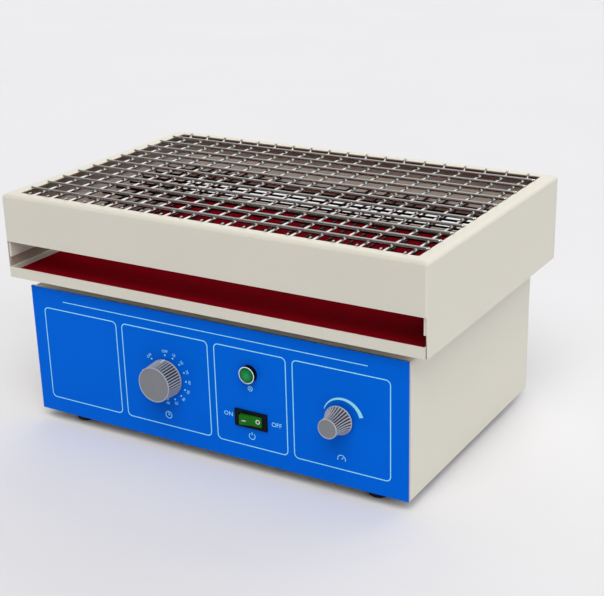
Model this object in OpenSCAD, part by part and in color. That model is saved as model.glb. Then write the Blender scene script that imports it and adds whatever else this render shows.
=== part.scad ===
// Reciprocating laboratory shaker: a gridded tray driven left and right over a low sheet housing

/* [Housing] */
// Width of the housing
body_w = 370; // [350:1:400]
// Depth of the housing
body_d = 242.5; // [236:0.5:250]
// Height of the housing above its feet
body_h = 118; // [116:0.5:130]
// Thickness of the housing and tray sheet
sheet_t = 1.5; // [1:0.1:2]
// Outer radius of the housing's top bends
bend_r = 4; // [3:0.5:8]
// Thickness of the base plate
base_t = 2; // [1.5:0.1:3]
// Height of the rubber feet
foot_h = 10; // [8:0.5:16]
// Diameter of the rubber feet
foot_d = 20; // [16:0.5:28]
// Distance from the housing's sides to the middle of the feet
foot_inset = 35; // [30:1:40]

/* [Tray] */
// Width of the tray
tray_w = 405; // [400:1:430]
// Depth of the tray
tray_d = 262; // [256:1:280]
// Height of the tray
tray_h = 75; // [70:0.5:90]
// Gap between the housing and the tray
tray_gap = 7.6; // [6:0.2:14]
// How far the tray stands out in front of the panel
tray_over = 7; // [4:0.5:10]
// Height of the closed band under the tray's top
band_h = 42.3; // [38:0.1:46]
// Height of the lips in front of and behind the tray's bottom
lip_h = 9.2; // [7:0.1:12]
// Height of the tray's rear band
rear_band_h = 51.1; // [46:0.1:54]
// Height of the lip along the rear of the tray's bottom
rear_lip_h = 11.4; // [9:0.1:13]
// Width of the top flange at the sides
flange_x = 12.5; // [10:0.1:16]
// Width of the top flange at front and rear
flange_y = 11; // [10:0.1:16]
// Thickness of the mat
mat_t = 4; // [3:0.1:5]
// Travel of the tray to each side
half_stroke = 10; // [5:0.5:10]

/* [Grid] */
// Diameter of the grid bars
bar_d = 3.2; // [2:0.1:3.4]
// Bars that run from front to rear
long_count = 19; // [9:1:19]
// Distance from the opening's sides to the first of these bars
long_margin = 10.9; // [8:0.1:16]
// Bars that run from left to right
cross_count = 11; // [5:1:11]
// Distance from the opening's front and rear to the first of these bars
cross_margin = 16; // [10:0.1:18]
// Height of the upper grid over the lower one
grid_drop = 33.7; // [29:0.1:35]

/* [Controls] */
// Distance of the timer from the middle
timer_x = -42.2; // [-60:0.1:-40]
// Distance of the lamp and switch from the middle
switch_x = 42.2; // [38:0.1:55]
// Distance of the speed knob from the middle
speed_x = 126; // [110:0.5:135]
// Height of the knobs over the housing's lower edge
knob_z = 58.8; // [56:0.2:64]
// Height of the lamp over the housing's lower edge
lamp_z = 79.8; // [74:0.2:86]
// Height of the switch over the housing's lower edge
switch_z = 38.6; // [34:0.2:44]
// How far the timer knob stands out of the panel
timer_out = 18; // [15:0.5:22]
// Diameter of the timer knob's front
timer_face_d = 31; // [27:0.5:32]
// How far the speed knob stands out of the panel
speed_out = 22; // [16:0.5:24]
// Diameter of the speed knob's skirt
speed_skirt_d = 24.4; // [22:0.2:28]
// Diameter of the pilot lamp
lamp_d = 15; // [14:0.1:17]
// Width of the switch bezel
switch_w = 31; // [30:0.1:34]
// Height of the switch bezel
switch_h = 15; // [14.4:0.1:17]
// Angle between the switch's ON and OFF positions
rock_angle = 16; // [10:1:16]

/* [Drive] */
// Diameter of the guide rods
rod_d = 10; // [8:0.5:10]
// Distance of the guide rods from the tray's middle
rod_y = 60; // [54:1:62]
// Radius of the crank
crank_r = 10; // [6:0.5:10]
// Length of the connecting rod
link_len = 100; // [90:1:104]
// Distance of the crank from the middle, to the left
crank_x = 62; // [56:1:66]
// Distance of the motor from the middle, to the right
motor_x = 70; // [66:1:76]
// Diameter of the motor
motor_d = 58; // [46:1:60]
// Belt radius on the crank pulley
crank_pulley_r = 37; // [30:0.5:40]
// Belt radius on the motor pulley
motor_pulley_r = 12; // [10:0.5:14]

/* [Fits] */
// Radial clearance of shafts and bushes that run
run_fit = 0.05; // [0.02:0.01:0.09]
// Radial clearance of screws and pins in their holes
screw_fit = 0.15; // [0.1:0.01:0.3]
// Gap between parts that pass each other
part_gap = 0.4; // [0.3:0.05:0.6]

/* [Hidden] */
$fn = 64;

// Levels
base_z = foot_h;
floor_z = base_z + base_t;
roof_z = base_z + body_h;
tray_z = roof_z + tray_gap;
tray_top = tray_z + tray_h;
mat_z = tray_z + sheet_t;
band_z = tray_top - band_h;
rear_band_z = tray_top - rear_band_h;
long_z = tray_top - 0.6;
cross_z = long_z + bar_d + 0.1;
low_cross_z = cross_z - grid_drop;
low_long_z = low_cross_z - bar_d - 0.1;
post_z0 = roof_z - 12;
plate_t = 5;
plate_z = post_z0 - plate_t;
rod_z = plate_z - 13;
deck_t = 4;
deck_top = rod_z - 18;
deck_z = deck_top - deck_t;
link_t = 7;
link_z = plate_z - 1 - link_t;
disc_t = 6;
disc_z = link_z - 1 - disc_t;
pulley_h = 12;
pulley_z = disc_z - pulley_h;

// Places from front to rear: the middle lies halfway between the timer knob's face and the tray's rear
front_y = (timer_out + tray_over - tray_d) / 2;
back_y = front_y + body_d;
tray_front = front_y - tray_over;
tray_back = tray_front + tray_d;
tray_y = tray_front + tray_d / 2;
panel_t = 2;
overlay_t = 0.4;
panel_back = front_y + overlay_t + panel_t;
deck_front = panel_back + 46;
deck_back = back_y - 16;
deck_w = body_w - 50;
inner_w = body_w - 2 * sheet_t;
rear_w = inner_w - 0.6;
flange_w = 240;
rear_top = roof_z - sheet_t - 0.3;

// Openings of the tray
open_w = tray_w - 2 * flange_x;
open_d = tray_d - 2 * flange_y;
hook_d = 2.2;
hook_len = 3.8;
rail_t = 2;
rail_w = tray_w - 2 * sheet_t;
rail_d = tray_d - 2 * sheet_t;
rail_z = low_long_z - 8;
rail_top = low_cross_z + 8;
long_pitch = (open_w - 2 * long_margin) / (long_count - 1);
cross_pitch = (open_d - 2 * cross_margin) / (cross_count - 1);
long_x = [for (i = [0:long_count - 1]) (i - (long_count - 1) / 2) * long_pitch];
cross_y = [for (i = [0:cross_count - 1]) tray_y + (i - (cross_count - 1) / 2) * cross_pitch];

// Fasteners
foot_places = [for (sx = [-1, 1], y = [front_y + 19, back_y - 19]) [sx * (body_w / 2 - foot_inset), y]];
body_y = front_y + body_d / 2;
side_screw_places = [for (sx = [-1, 1], sy = [-1, 1]) [sx * (inner_w / 2 - 7), body_y + sy * 70]];
panel_screw_places = [for (sx = [-1, 1], y = [panel_back + 9, back_y - sheet_t - 9]) [sx * 60, y]];
base_screw_places = concat(side_screw_places, panel_screw_places);
post_places = [for (sx = [-1, 1], y = [deck_front + 10, deck_back - 10]) [sx * (deck_w / 2 - 28), y]];
support_x = deck_w / 2 - 42;
support_places = [for (sx = [-1, 1], sy = [-1, 1]) [sx * support_x, tray_y + sy * rod_y]];
block_x = 62;
block_places = [for (sx = [-1, 1], sy = [-1, 1]) [sx * block_x, tray_y + sy * rod_y]];
column_places = [for (sx = [-1, 1], sy = [-1, 1]) [sx * 82, tray_y + sy * (rod_y - 26)]];
column_d = 14;
bolt_d = 6;
screw_d = 4;
bush_d = 19;
bush_len = 29;
screw_hole = screw_d + 2 * screw_fit;
bolt_hole = bolt_d + 2 * screw_fit;
head_d = 8;
head_h = 2.4;
press_gap = 0.04;

// Drive
shaft_d = 10;
pin_d = 8;
bearing_d = 26;
bearing_h = 8;
hub_h = 34;
hub_z = deck_z - hub_h;
link_bearing_d = 22;
motor_shaft_d = 8;
motor_h = deck_z - floor_z - 6;
link_angle = -asin(crank_r / link_len);
belt_t = 2.5;
belt_gap = 0.3;
belt_span = crank_x + motor_x;
belt_lean = asin((crank_pulley_r - motor_pulley_r) / belt_span);

// Controls
timer_z = base_z + knob_z;
pilot_z = base_z + lamp_z;
rocker_z = base_z + switch_z;
knob_shaft_d = 6;
knob_base = 2.4;
timer_w = 44;
timer_depth = 40;
timer_skirt_d = timer_face_d + 2;
speed_face_d = speed_skirt_d * 0.66;
speed_base = 4.2;
lamp_stem_d = lamp_d - 3;
lamp_out = 5.3;
switch_cut_w = switch_w - 2.4;
switch_cut_h = switch_h - 1.8;
pocket_w = switch_w - 8;
pocket_h = switch_h - 5.4;
pocket_depth = 9;
rocker_pivot = front_y + 3.2;
rocker_pin_d = 2;
rocker_reach = pocket_w / 2 - 1.4;

// Rear fittings and electronics
inlet_x = 65 - body_w / 2;
inlet_z = base_z + 34;
fuse_x = inlet_x + 48;
vent_x = 40;
vent_pitch = 12;
fuse_body_d = 12;
board_x = 67 - body_w / 2;
board_y = back_y - 72;
board_w = 90;
board_d = 70;
board_z = floor_z + 8;
board_t = 1.6;
board_top = board_z + board_t;
coil_x = body_w / 2 - 53;
coil_y = back_y - 82;

steel_color = "silver";
paint_color = "#d9d5c5";
panel_color = "#0a5bc8";
knob_color = "#8f8f90";
black_color = "#202022";

// Box centred left to right and front to rear
module slab(w, d, h) {
    translate([-w / 2, -d / 2, 0]) cube([w, d, h]);
}

// Upright plate that faces the front, centred left to right
module upright(w, t, h) {
    translate([-w / 2, 0, 0]) cube([w, t, h]);
}

// Cylinder along the depth, from y = 0 to the rear
module tube_y(d, len) {
    rotate([-90, 0, 0]) cylinder(d = d, h = len);
}

// Cylinder along the width, centred
module bar_x(d, len) {
    rotate([0, 90, 0]) cylinder(d = d, h = len, center = true);
}

// Cylinder along the depth, centred
module bar_y(d, len) {
    rotate([90, 0, 0]) cylinder(d = d, h = len, center = true);
}

// Screw with its head's underside at z = 0 and its shank below
module screw(d, head_d, head_h, len) {
    cylinder(d = head_d, h = head_h);
    translate([0, 0, -len]) cylinder(d = d, h = len + 0.01);
}

// Copies at a list of places
module copies(places, z) {
    for (p = places) translate([p[0], p[1], z]) children();
}

// Slot outline, longer left to right
module slot_outline(len, w) {
    square([len - w, w], center = true);
    for (s = [-1, 1]) translate([s * (len - w) / 2, 0]) circle(d = w);
}

// Sheet outline with rounded upper corners, standing on y = 0
module arch_outline(w, h, r) {
    translate([-w / 2, 0]) square([w, h - r]);
    translate([-w / 2 + r, 0]) square([w - 2 * r, h]);
    for (s = [-1, 1]) translate([s * (w / 2 - r), h - r]) circle(r = r);
}

module base_plate() {
    depth = back_y - sheet_t - 0.2 - panel_back - 0.2;
    color(paint_color) difference() {
        translate([0, panel_back + 0.2 + depth / 2, base_z]) slab(inner_w - 0.4, depth, base_t);
        copies(concat(foot_places, base_screw_places, post_places), base_z - 1)
            cylinder(d = screw_hole, h = base_t + 2);
    }
}

module housing_shell() {
    flange_len = body_d - 44;
    color(paint_color) difference() {
        union() {
            translate([0, back_y, base_z]) rotate([90, 0, 0]) linear_extrude(back_y - panel_back) difference() {
                arch_outline(body_w, body_h, bend_r);
                translate([0, -1]) arch_outline(inner_w, body_h - sheet_t + 1, bend_r - sheet_t);
            }
            for (s = [-1, 1]) translate([s * (inner_w / 2 - 6.9), body_y, floor_z])
                slab(14, flange_len, sheet_t);
        }
        copies(side_screw_places, floor_z - 1) cylinder(d = screw_hole, h = sheet_t + 2);
        copies(column_places, roof_z - sheet_t - 1) linear_extrude(sheet_t + 2)
            slot_outline(column_d + 2 * half_stroke + 4, column_d + 4);
    }
}

// Holes that the controls need in the front panel and its overlay
module control_holes(y, t) {
    translate([timer_x, y, timer_z]) tube_y(knob_shaft_d + 3, t);
    translate([speed_x, y, timer_z]) tube_y(9 + 2 * screw_fit, t);
    translate([switch_x, y, pilot_z]) tube_y(lamp_stem_d + 2 * screw_fit, t);
    translate([switch_x, y, rocker_z - switch_cut_h / 2 - 0.2])
        upright(switch_cut_w + 0.4, t, switch_cut_h + 0.4);
}

module front_panel() {
    color(panel_color) difference() {
        union() {
            translate([0, front_y + overlay_t, base_z]) upright(body_w, panel_t, body_h);
            translate([0, panel_back - 0.01, floor_z]) upright(flange_w, 18, sheet_t);
        }
        control_holes(front_y - 1, panel_t + 4);
        copies(panel_screw_places, floor_z - 1) cylinder(d = screw_hole, h = sheet_t + 2);
    }
}

module panel_overlay() {
    color(panel_color) difference() {
        translate([0, front_y, base_z]) upright(body_w, overlay_t, body_h);
        control_holes(front_y - 1, overlay_t + 2);
    }
}

module rear_panel() {
    color(paint_color) difference() {
        union() {
            translate([0, back_y - sheet_t, base_z]) upright(rear_w, sheet_t, rear_top - base_z);
            translate([0, back_y - sheet_t - 17.99, floor_z]) upright(flange_w, 18, sheet_t);
        }
        translate([inlet_x, back_y - sheet_t - 1, inlet_z - 10.2]) upright(28.4, sheet_t + 2, 20.4);
        translate([fuse_x, back_y - sheet_t - 1, inlet_z]) tube_y(fuse_body_d + 2 * screw_fit, sheet_t + 2);
        for (i = [0:7]) translate([vent_x + i * vent_pitch, back_y - sheet_t - 1, base_z + 30])
            upright(4, sheet_t + 2, 50);
        copies(panel_screw_places, floor_z - 1) cylinder(d = screw_hole, h = sheet_t + 2);
    }
}

module rubber_feet() {
    color(black_color) copies(foot_places, 0) difference() {
        cylinder(d1 = foot_d - 2, d2 = foot_d, h = foot_h);
        translate([0, 0, -1]) cylinder(d = 9, h = foot_h / 2 + 1);
        cylinder(d = screw_hole, h = foot_h + 1);
    }
}

module foot_screws() {
    color(steel_color) copies(foot_places, foot_h / 2) rotate([180, 0, 0])
        screw(screw_d, head_d, head_h, foot_h / 2 + base_t + 4);
}

module base_screws() {
    color(steel_color) copies(base_screw_places, base_z) rotate([180, 0, 0])
        screw(screw_d, head_d, head_h, base_t + sheet_t + 4);
}

module deck_plate() {
    depth = deck_back - deck_front;
    color(steel_color) difference() {
        translate([0, deck_front + depth / 2, deck_z]) slab(deck_w, depth, deck_t);
        copies(post_places, deck_z - 1) cylinder(d = screw_hole, h = deck_t + 2);
        copies(support_screw_places(), deck_z - 1) cylinder(d = screw_hole, h = deck_t + 2);
        copies(motor_screw_places(), deck_z - 1) cylinder(d = screw_hole, h = deck_t + 2);
        copies(flange_screw_places(), deck_z - 1) cylinder(d = screw_hole, h = deck_t + 2);
        translate([-crank_x, tray_y, deck_z - 1]) cylinder(d = shaft_d + 4, h = deck_t + 2);
        translate([motor_x, tray_y, deck_z - 1]) cylinder(d = motor_shaft_d + 4, h = deck_t + 2);
    }
}

function support_screw_places() = [for (p = support_places, s = [-1, 1]) [p[0], p[1] + s * 14]];
function motor_screw_places() = [for (a = [45:90:315]) [motor_x + 17 * cos(a), tray_y + 17 * sin(a)]];
function flange_screw_places() = [for (a = [45:90:315]) [-crank_x + 24 * cos(a), tray_y + 24 * sin(a)]];
function block_screw_places() = [for (p = block_places, s = [-1, 1]) [p[0], p[1] + s * 14]];

module deck_posts() {
    color(steel_color) copies(post_places, floor_z) difference() {
        cylinder(d = 12, h = deck_z - floor_z);
        translate([0, 0, -1]) cylinder(d = screw_hole, h = deck_z - floor_z + 2);
    }
}

module deck_screws() {
    color(steel_color) {
        copies(post_places, deck_top) screw(screw_d, head_d, head_h, 16);
        copies(post_places, base_z) rotate([180, 0, 0]) screw(screw_d, head_d, head_h, 14);
        copies(support_screw_places(), deck_z) rotate([180, 0, 0]) screw(screw_d, head_d, head_h, 14);
        copies(flange_screw_places(), deck_top) screw(screw_d, head_d, head_h, deck_t + 5);
    }
}

module rod_supports() {
    height = rod_z - deck_top + 12;
    color(steel_color) difference() {
        copies(support_places, deck_top) slab(16, 40, height);
        copies(support_screw_places(), deck_top - 1) cylinder(d = screw_hole, h = 13);
        for (s = [-1, 1]) translate([0, tray_y + s * rod_y, rod_z]) bar_x(rod_d + press_gap, 2 * support_x + 64);
    }
}

module guide_rods() {
    color(steel_color) for (s = [-1, 1]) translate([0, tray_y + s * rod_y, rod_z])
        bar_x(rod_d, 2 * support_x + 24);
}

module motor_body() {
    color(steel_color) difference() {
        union() {
            translate([motor_x, tray_y, deck_z - motor_h]) cylinder(d = motor_d, h = motor_h);
            translate([motor_x, tray_y, deck_z - motor_h - 4]) cylinder(d = 22, h = 5);
        }
        translate([motor_x, tray_y, deck_z - 24]) cylinder(d = motor_shaft_d + 2 * run_fit, h = 25);
        copies(motor_screw_places(), deck_z - 7) cylinder(d = screw_hole, h = 8);
    }
}

module motor_screws() {
    color(steel_color) copies(motor_screw_places(), deck_top) screw(screw_d, head_d - 1, head_h, deck_t + 6);
}

module bearing_housing() {
    color(steel_color) translate([-crank_x, tray_y, 0]) difference() {
        union() {
            translate([0, 0, deck_z - 6]) cylinder(d = 62, h = 6);
            translate([0, 0, hub_z]) cylinder(d = bearing_d + 12, h = hub_h - 5);
        }
        translate([0, 0, hub_z - 1]) cylinder(d = bearing_d + press_gap, h = bearing_h + 1);
        translate([0, 0, deck_z - bearing_h]) cylinder(d = bearing_d + press_gap, h = bearing_h + 1);
        translate([0, 0, hub_z - 1]) cylinder(d = bearing_d - 4, h = hub_h + 2);
        for (a = [45:90:315]) translate([24 * cos(a), 24 * sin(a), deck_z - 7])
            cylinder(d = screw_hole, h = 8);
    }
}

module crank_bearings() {
    color(steel_color) for (z = [hub_z, deck_z - bearing_h]) translate([-crank_x, tray_y, z]) difference() {
        cylinder(d = bearing_d, h = bearing_h);
        translate([0, 0, -1]) cylinder(d = shaft_d + 2 * run_fit, h = bearing_h + 2);
    }
}

// Flat belt: an arc round each pulley and the two straight runs between them
module drive_belt() {
    touch_angle = 90 - belt_lean;
    run = sqrt(belt_span * belt_span - pow(crank_pulley_r - motor_pulley_r, 2));
    belt_h = pulley_h - 5;
    color(black_color) translate([0, tray_y, pulley_z + 2.5]) {
        translate([-crank_x, 0, 0]) rotate(touch_angle) rotate_extrude(angle = 360 - 2 * touch_angle)
            translate([crank_pulley_r + belt_gap, 0]) square([belt_t, belt_h]);
        translate([motor_x, 0, 0]) rotate(-touch_angle) rotate_extrude(angle = 2 * touch_angle)
            translate([motor_pulley_r + belt_gap, 0]) square([belt_t, belt_h]);
        for (s = [0, 1]) mirror([0, s, 0]) translate([-crank_x, 0, 0]) rotate(-belt_lean)
            translate([0, crank_pulley_r + belt_gap, 0]) cube([run, belt_t, belt_h]);
    }
}

// Flanged pulley for a flat belt
module pulley(r, bore) {
    difference() {
        union() {
            cylinder(r = r, h = pulley_h);
            for (z = [0, pulley_h - 2]) translate([0, 0, z]) cylinder(r = r + 2, h = 2);
        }
        translate([0, 0, -1]) cylinder(d = bore + press_gap, h = pulley_h + 2);
    }
}

module motor_pulley() {
    color(steel_color) translate([motor_x, tray_y, pulley_z]) pulley(motor_pulley_r, motor_shaft_d);
}

module motor_shaft() {
    buried = 23;
    color(steel_color) translate([motor_x, tray_y, deck_z - buried])
        cylinder(d = motor_shaft_d, h = pulley_z + pulley_h + 1 - deck_z + buried);
}

module crank_pulley() {
    color(steel_color) translate([-crank_x, tray_y, pulley_z]) pulley(crank_pulley_r, shaft_d);
}

module crank_shaft() {
    color(steel_color) translate([-crank_x, tray_y, hub_z + 1])
        cylinder(d = shaft_d, h = disc_z + disc_t - hub_z - 1);
}

module crank_disc() {
    color(steel_color) translate([-crank_x, tray_y, disc_z]) {
        difference() {
            cylinder(d = 46, h = disc_t);
            translate([0, 0, -1]) cylinder(d = shaft_d + press_gap, h = disc_t + 2);
        }
        translate([0, crank_r, disc_t - 0.01]) cylinder(d = pin_d, h = link_t + 1.21);
    }
}

// Frame of the connecting rod: origin on the crank pin, the wrist along +X
module link_frame() {
    translate([-crank_x, tray_y + crank_r, link_z]) rotate([0, 0, link_angle]) children();
}

module connecting_rod() {
    eye_d = link_bearing_d + 8;
    color("#a9a9ac") link_frame() difference() {
        union() {
            for (x = [0, link_len]) translate([x, 0, 0]) cylinder(d = eye_d, h = link_t);
            translate([0, -7, 0]) cube([link_len, 14, link_t]);
        }
        for (x = [0, link_len]) translate([x, 0, -1])
            cylinder(d = link_bearing_d + press_gap, h = link_t + 2);
    }
}

module link_bearings() {
    color(steel_color) link_frame() {
        difference() {
            cylinder(d = link_bearing_d, h = link_t);
            translate([0, 0, -1]) cylinder(d = pin_d + 2 * run_fit, h = link_t + 2);
        }
        translate([link_len, 0, 0]) difference() {
            cylinder(d = link_bearing_d, h = link_t);
            translate([0, 0, -1]) cylinder(d = pin_d + press_gap, h = link_t + 2);
        }
    }
}

module wrist_pin() {
    color(steel_color) link_frame() translate([link_len, 0, 0]) {
        translate([0, 0, -0.2]) cylinder(d = pin_d, h = link_t + 0.3);
        translate([0, 0, link_t]) cylinder(d = pin_d + 8, h = 1 - part_gap);
    }
}

module timer_body() {
    color("#d8d4c0") difference() {
        translate([timer_x, panel_back, timer_z - 23]) upright(timer_w, timer_depth, 46);
        translate([timer_x, panel_back - 1, timer_z]) tube_y(knob_shaft_d + 2 * run_fit, 21);
    }
}

module timer_shaft() {
    color(steel_color) translate([timer_x, front_y - timer_out + 6, timer_z])
        tube_y(knob_shaft_d, panel_back + 18 - front_y + timer_out - 6);
}

// Knob that stands out of the panel: skirt, tapered grip and a blind bore for its shaft
module knob(skirt_d, grip_d, face_d, len, recess) {
    rotate([90, 0, 0]) difference() {
        union() {
            cylinder(d = skirt_d, h = 3);
            translate([0, 0, 2.99]) cylinder(d1 = grip_d, d2 = face_d, h = len - 2.99);
        }
        translate([0, 0, -1]) cylinder(d = knob_shaft_d + press_gap, h = len - 4.9);
        translate([0, 0, -1]) cylinder(d = recess, h = 3);
    }
}

module timer_knob() {
    color(knob_color) translate([timer_x, front_y - knob_base, timer_z])
        knob(timer_skirt_d, timer_face_d + 0.6, timer_face_d, timer_out - knob_base, 18);
}

module speed_knob() {
    color(knob_color) translate([speed_x, front_y - speed_base, timer_z])
        knob(speed_skirt_d, speed_skirt_d - 3, speed_face_d, speed_out - speed_base, 18);
}

module speed_shaft() {
    color(steel_color) translate([speed_x, front_y - speed_out + 6, timer_z])
        tube_y(knob_shaft_d, panel_back + 8 - front_y + speed_out - 6);
}

module speed_control() {
    color(black_color) difference() {
        union() {
            translate([speed_x, front_y - 2.2, timer_z]) tube_y(9, panel_back - front_y + 2.3);
            translate([speed_x, panel_back, timer_z]) tube_y(24, 12);
        }
        translate([speed_x, front_y - 3, timer_z])
            tube_y(knob_shaft_d + 2 * run_fit, panel_back - front_y + 12);
    }
}

module control_nut() {
    color(steel_color) translate([speed_x, front_y, timer_z]) rotate([90, 0, 0]) difference() {
        cylinder(d = 14, h = 2, $fn = 6);
        translate([0, 0, -1]) cylinder(d = 9.1, h = 4);
    }
}

module lamp_bezel() {
    color("gainsboro") difference() {
        union() {
            translate([switch_x, front_y - lamp_out, pilot_z]) tube_y(lamp_d, lamp_out);
            translate([switch_x, front_y - 0.01, pilot_z]) tube_y(lamp_stem_d, 28);
        }
        translate([switch_x, front_y - lamp_out - 1, pilot_z]) tube_y(lamp_d - 2.4, 5);
    }
}

module lamp_lens() {
    dome_r = lamp_d * 0.7;
    color("#1a9a4a") translate([switch_x, front_y - lamp_out, pilot_z]) intersection() {
        translate([0, dome_r - 1.4, 0]) sphere(r = dome_r);
        translate([0, -3, 0]) tube_y(lamp_d - 2.6, 7);
    }
}

module lamp_nut() {
    color(steel_color) translate([switch_x, panel_back + 4, pilot_z]) rotate([90, 0, 0]) difference() {
        cylinder(d = lamp_d + 5, h = 4, $fn = 6);
        translate([0, 0, -1]) cylinder(d = lamp_stem_d + 0.1, h = 6);
    }
}

module switch_frame() {
    color(black_color) difference() {
        union() {
            translate([switch_x, front_y - 1.6, rocker_z - switch_h / 2]) upright(switch_w, 1.6, switch_h);
            translate([switch_x, front_y - 0.01, rocker_z - switch_cut_h / 2])
                upright(switch_cut_w, 22, switch_cut_h);
            for (x = [-9, 0, 9]) translate([switch_x + x, front_y + 21.9, rocker_z - 3]) upright(0.8, 8, 6);
        }
        translate([switch_x, front_y - 3, rocker_z - pocket_h / 2])
            upright(pocket_w, pocket_depth + 3, pocket_h);
        translate([switch_x, rocker_pivot, rocker_z - pocket_h / 2 - 0.8])
            cylinder(d = rocker_pin_d + 2 * run_fit, h = pocket_h + 1.6);
    }
}

// Rocker with its right end pressed in
module switch_rocker() {
    crest = rocker_pivot - front_y + 3.6;
    color("#1f7a2c") translate([switch_x, rocker_pivot, rocker_z]) rotate([0, 0, rock_angle / 2]) {
        translate([0, 0, -pocket_h / 2 + part_gap]) linear_extrude(pocket_h - 2 * part_gap) polygon([
            [-rocker_reach, -crest], [0, 1.2 - crest], [rocker_reach, -crest],
            [rocker_reach, 0.6], [2.6, 2.4], [-2.6, 2.4], [-rocker_reach, 0.6]
        ]);
        cylinder(d = rocker_pin_d, h = pocket_h + 1.2, center = true);
    }
}

function board_corners() = [for (sx = [-1, 1], sy = [-1, 1])
    [board_x + sx * (board_w / 2 - 5), board_y + sy * (board_d / 2 - 5)]];

module control_board() {
    color("#1e6b3a") difference() {
        translate([board_x, board_y, board_z]) slab(board_w, board_d, board_t);
        copies(board_corners(), board_z - 1) cylinder(d = 3 + 2 * screw_fit, h = board_t + 2);
    }
}

module board_standoffs() {
    color("white") copies(board_corners(), floor_z) {
        cylinder(d = 7, h = board_z - floor_z);
        cylinder(d = 3, h = board_top - floor_z + 2);
    }
}

module heat_sink() {
    color("dimgray") translate([board_x - 14, board_y - 14, board_top]) {
        slab(36, 24, 4);
        for (i = [-3:3]) translate([i * 5.5, 0, 3.99]) slab(2, 24, 24);
    }
}

module filter_capacitor() {
    color("#20305a") translate([board_x + 24, board_y + 14, board_top]) cylinder(d = 22, h = 34);
}

module transformer_core() {
    color("dimgray") translate([coil_x, coil_y, floor_z]) difference() {
        slab(60, 24, 50);
        for (s = [-1, 1]) translate([s * 15, 0, 10]) slab(10, 30, 30);
    }
}

module transformer_coil() {
    color("#b8862b") translate([coil_x, coil_y, floor_z + 10.3]) difference() {
        slab(39, 44, 29.4);
        translate([0, 0, -1]) slab(20.4, 24.4, 32);
    }
}

module power_inlet() {
    color(black_color) difference() {
        union() {
            translate([inlet_x, back_y, inlet_z - 11]) upright(48, 3, 22);
            translate([inlet_x, back_y - 18, inlet_z - 9.8]) upright(27.6, 18.01, 19.6);
        }
        translate([inlet_x, back_y - 12, inlet_z - 8]) upright(23.6, 16, 16);
    }
    color(steel_color) for (p = [[-7, -2], [0, 2.5], [7, -2]])
        translate([inlet_x + p[0], back_y - 12.5, inlet_z + p[1] - 2]) upright(2, 9.5, 4);
}

module fuse_holder() {
    color(black_color) difference() {
        union() {
            translate([fuse_x, back_y, inlet_z]) tube_y(16, 2);
            translate([fuse_x, back_y - 28, inlet_z]) tube_y(fuse_body_d, 28.01);
        }
        translate([fuse_x, back_y - 22, inlet_z]) tube_y(fuse_body_d - 3, 30);
    }
}

module fuse_cap() {
    color(black_color) {
        translate([fuse_x, back_y + 2 + part_gap, inlet_z]) tube_y(14, 6);
        translate([fuse_x, back_y - 20, inlet_z]) tube_y(fuse_body_d - 3 - 2 * part_gap, 23);
    }
}

module bearing_blocks() {
    color(steel_color) difference() {
        copies(block_places, rod_z - 13) slab(34, 38, 26);
        for (s = [-1, 1]) translate([0, tray_y + s * rod_y, rod_z]) bar_x(bush_d + press_gap, 4 * block_x);
        copies(block_screw_places(), plate_z - 12) cylinder(d = screw_hole, h = 13);
    }
}

module linear_bushes() {
    color("#c8c8cc") copies(block_places, rod_z) difference() {
        bar_x(bush_d, bush_len);
        bar_x(rod_d + 2 * run_fit, bush_len + 2);
    }
}

module carriage_plate() {
    color(steel_color) difference() {
        translate([0, tray_y, plate_z]) slab(2 * block_x + 72, 2 * rod_y + 40, plate_t);
        copies(block_screw_places(), plate_z - 1) cylinder(d = screw_hole, h = plate_t + 2);
        copies(column_places, plate_z - 1) cylinder(d = bolt_hole, h = plate_t + 2);
    }
}

module block_screws() {
    color(steel_color) copies(block_screw_places(), post_z0) screw(screw_d, head_d, head_h, plate_t + 11);
}

module tray_columns() {
    color(steel_color) copies(column_places, post_z0) difference() {
        cylinder(d = column_d, h = tray_z - post_z0);
        translate([0, 0, -1]) cylinder(d = bolt_hole, h = tray_z - post_z0 + 2);
    }
}

module tray_bolts() {
    color(steel_color) copies(column_places, mat_z) screw(bolt_d, head_d + 3, head_h, mat_z - plate_z - 0.5);
}

module tray_bottom() {
    color(paint_color) difference() {
        union() {
            translate([0, tray_y, tray_z]) slab(rail_w, tray_d, sheet_t);
            translate([0, tray_front, tray_z]) upright(rail_w, sheet_t, lip_h);
            translate([0, tray_back - sheet_t, tray_z]) upright(rail_w, sheet_t, rear_lip_h);
            for (s = [-1, 1]) translate([s * (rail_w - sheet_t) / 2, tray_y, tray_z])
                slab(sheet_t, tray_d, lip_h);
        }
        copies(column_places, tray_z - 1) cylinder(d = bolt_hole, h = sheet_t + 2);
    }
}

module tray_frame() {
    color(paint_color) translate([0, tray_y, tray_z]) difference() {
        slab(tray_w, tray_d, tray_h);
        translate([0, 0, -1]) slab(rail_w, rail_d, tray_h + 1 - sheet_t);
        translate([0, -tray_d / 2, -1]) slab(rail_w, tray_d, band_z - tray_z + 1);
        translate([0, tray_d / 2, -1]) slab(rail_w, tray_d, rear_band_z - tray_z + 1);
        slab(open_w, open_d, tray_h + 1);
    }
}

module tray_mat() {
    color("#8c1226") difference() {
        translate([0, tray_y, mat_z]) slab(rail_w - 2 * sheet_t - 2, tray_d - 2 * sheet_t - 2, mat_t);
        copies(column_places, mat_z - 1) cylinder(d = 13, h = 3.6);
    }
}

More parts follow.
